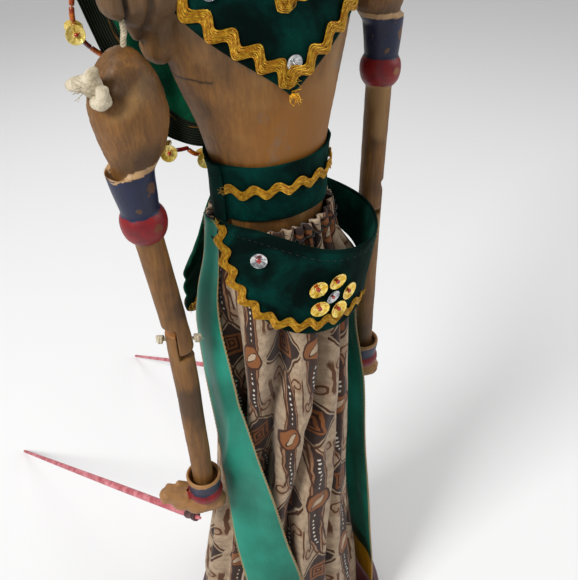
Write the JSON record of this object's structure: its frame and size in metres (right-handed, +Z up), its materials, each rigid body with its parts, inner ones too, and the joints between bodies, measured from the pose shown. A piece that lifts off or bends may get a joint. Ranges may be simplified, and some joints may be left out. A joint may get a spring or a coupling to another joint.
{
  "type": "wayang golek rod puppet",
  "caption": "Wooden rod puppet with cord-jointed arms, batik sarong, velvet costume with gold braid and sequins, hand rods and a turned base.",
  "frame": {"origin": "centre of the base's bottom face, on the table", "axes": "+Z up, the puppet faces -Y, its right hand is at -X"},
  "size_m": [0.1976, 0.3587, 0.5754],
  "materials": {
    "turned_base": "dark maroon lacquer over turned wood, worn at the edges",
    "carved_wood": "thin ochre stain over hand-carved wood, rubbed and greyed",
    "rod_wood": "plain turned wood",
    "crown_paint": "old gold paint",
    "velvet": "dark green velvet",
    "gold_braid": "woven metallic gold zigzag braid",
    "gold_sequin": "bright gold cupped sequin",
    "silver_sequin": "silver cupped sequin",
    "red_bead": "red seed bead",
    "amber_bead": "amber tube beads on a string",
    "batik": "cream, brown and black printed cotton",
    "black_thread": "black sewing thread",
    "satin": "teal satin ribbon",
    "cotton_cord": "undyed cotton cord",
    "tie_cord": "dark brown twisted cord",
    "rose_rod": "thin pinkish-red paint on a tapered rod"
  },
  "bodies": {
    "stand": {"stand_base": "turned_base"},
    "body": {"torso": "carved_wood", "collar": "velvet", "collar_braid": "gold_braid", "collar_inner_braid": "gold_braid", "collar_sequins": "silver_sequin", "cape": "velvet", "cape_beads": "amber_bead", "cape_sequins": "gold_sequin", "waist_belt": "velvet", "belt_braid": "gold_braid", "hip_wrap": "velvet", "hip_braid": "gold_braid", "flower_sequins": "gold_sequin", "silver_sequins": "silver_sequin", "seed_beads": "red_bead", "sarong": "batik", "waist_cord": "black_thread", "sash_r": "satin", "sash_l": "satin", "tail_panel": "velvet", "tail_braid": "gold_braid", "tail_beads": "gold_sequin"},
    "head": {"main_rod": "rod_wood", "head": "carved_wood", "headdress": "crown_paint", "crown_knob": "crown_paint", "ear_ornament_r": "crown_paint", "ear_ornament_l": "crown_paint"},
    "shoulder_cord_r": {"shoulder_cord_r": "cotton_cord"},
    "upper_arm_r": {"upper_arm_r": "carved_wood", "shoulder_knot_r": "cotton_cord", "elbow_cord_r": "cotton_cord"},
    "forearm_r": {"forearm_r": "carved_wood", "hand_r": "carved_wood"},
    "rod_tie_r": {"rod_tie_r": "tie_cord"},
    "control_rod_r": {"control_rod_r": "rose_rod"},
    "shoulder_cord_l": {"shoulder_cord_l": "cotton_cord"},
    "upper_arm_l": {"upper_arm_l": "carved_wood", "shoulder_knot_l": "cotton_cord", "elbow_cord_l": "cotton_cord"},
    "forearm_l": {"forearm_l": "carved_wood", "hand_l": "carved_wood"},
    "rod_tie_l": {"rod_tie_l": "tie_cord"},
    "control_rod_l": {"control_rod_l": "rose_rod"}
  },
  "joints": [
    {"name": "puppet_lift", "type": "slide", "parent": "stand", "child": "body", "axis": [0, 0, 1], "range_m": [0, 0.06]},
    {"name": "head_turn", "type": "hinge", "parent": "body", "child": "head", "pos_m": [0, 0, 0.45], "axis": [0, 0, 1], "range_deg": [-80, 80]},
    {"name": "shoulder_lift_r", "type": "hinge", "parent": "body", "child": "shoulder_cord_r", "pos_m": [-0.0566, -0.0093, 0.4079], "axis": [0, 1, 0], "range_deg": [0, 30]},
    {"name": "shoulder_swing_r", "type": "hinge", "parent": "shoulder_cord_r", "child": "upper_arm_r", "pos_m": [-0.0566, -0.0093, 0.4079], "axis": [-0.9063, 0.4226, 0], "range_deg": [0, 70]},
    {"name": "elbow_r", "type": "hinge", "parent": "upper_arm_r", "child": "forearm_r", "pos_m": [-0.05449, -0.0097, 0.27537], "axis": [-0.866, 0.5, 0], "range_deg": [0, 110]},
    {"name": "rod_swivel_r", "type": "hinge", "parent": "forearm_r", "child": "rod_tie_r", "pos_m": [-0.06052, -0.0052, 0.14999], "axis": [0, 0, 1], "range_deg": [-12, 45]},
    {"name": "rod_tilt_r", "type": "hinge", "parent": "rod_tie_r", "child": "control_rod_r", "pos_m": [-0.06052, -0.0052, 0.14999], "axis": [0.9743, 0.2253, 0], "range_deg": [-16, 28]},
    {"name": "shoulder_lift_l", "type": "hinge", "parent": "body", "child": "shoulder_cord_l", "pos_m": [0.06, 0.0082, 0.4283], "axis": [0, -1, 0], "range_deg": [0, 30]},
    {"name": "shoulder_swing_l", "type": "hinge", "parent": "shoulder_cord_l", "child": "upper_arm_l", "pos_m": [0.06, 0.0082, 0.4283], "axis": [-0.9063, -0.4226, 0], "range_deg": [0, 70]},
    {"name": "elbow_l", "type": "hinge", "parent": "upper_arm_l", "child": "forearm_l", "pos_m": [0.05946, 0.00553, 0.30161], "axis": [-0.866, -0.5, 0], "range_deg": [0, 110]},
    {"name": "rod_swivel_l", "type": "hinge", "parent": "forearm_l", "child": "rod_tie_l", "pos_m": [0.0499, 0.01003, 0.17622], "axis": [0, 0, 1], "range_deg": [-45, 12]},
    {"name": "rod_tilt_l", "type": "hinge", "parent": "rod_tie_l", "child": "control_rod_l", "pos_m": [0.0499, 0.01003, 0.17622], "axis": [0.9901, 0.1406, 0], "range_deg": [-16, 28]}
  ]
}
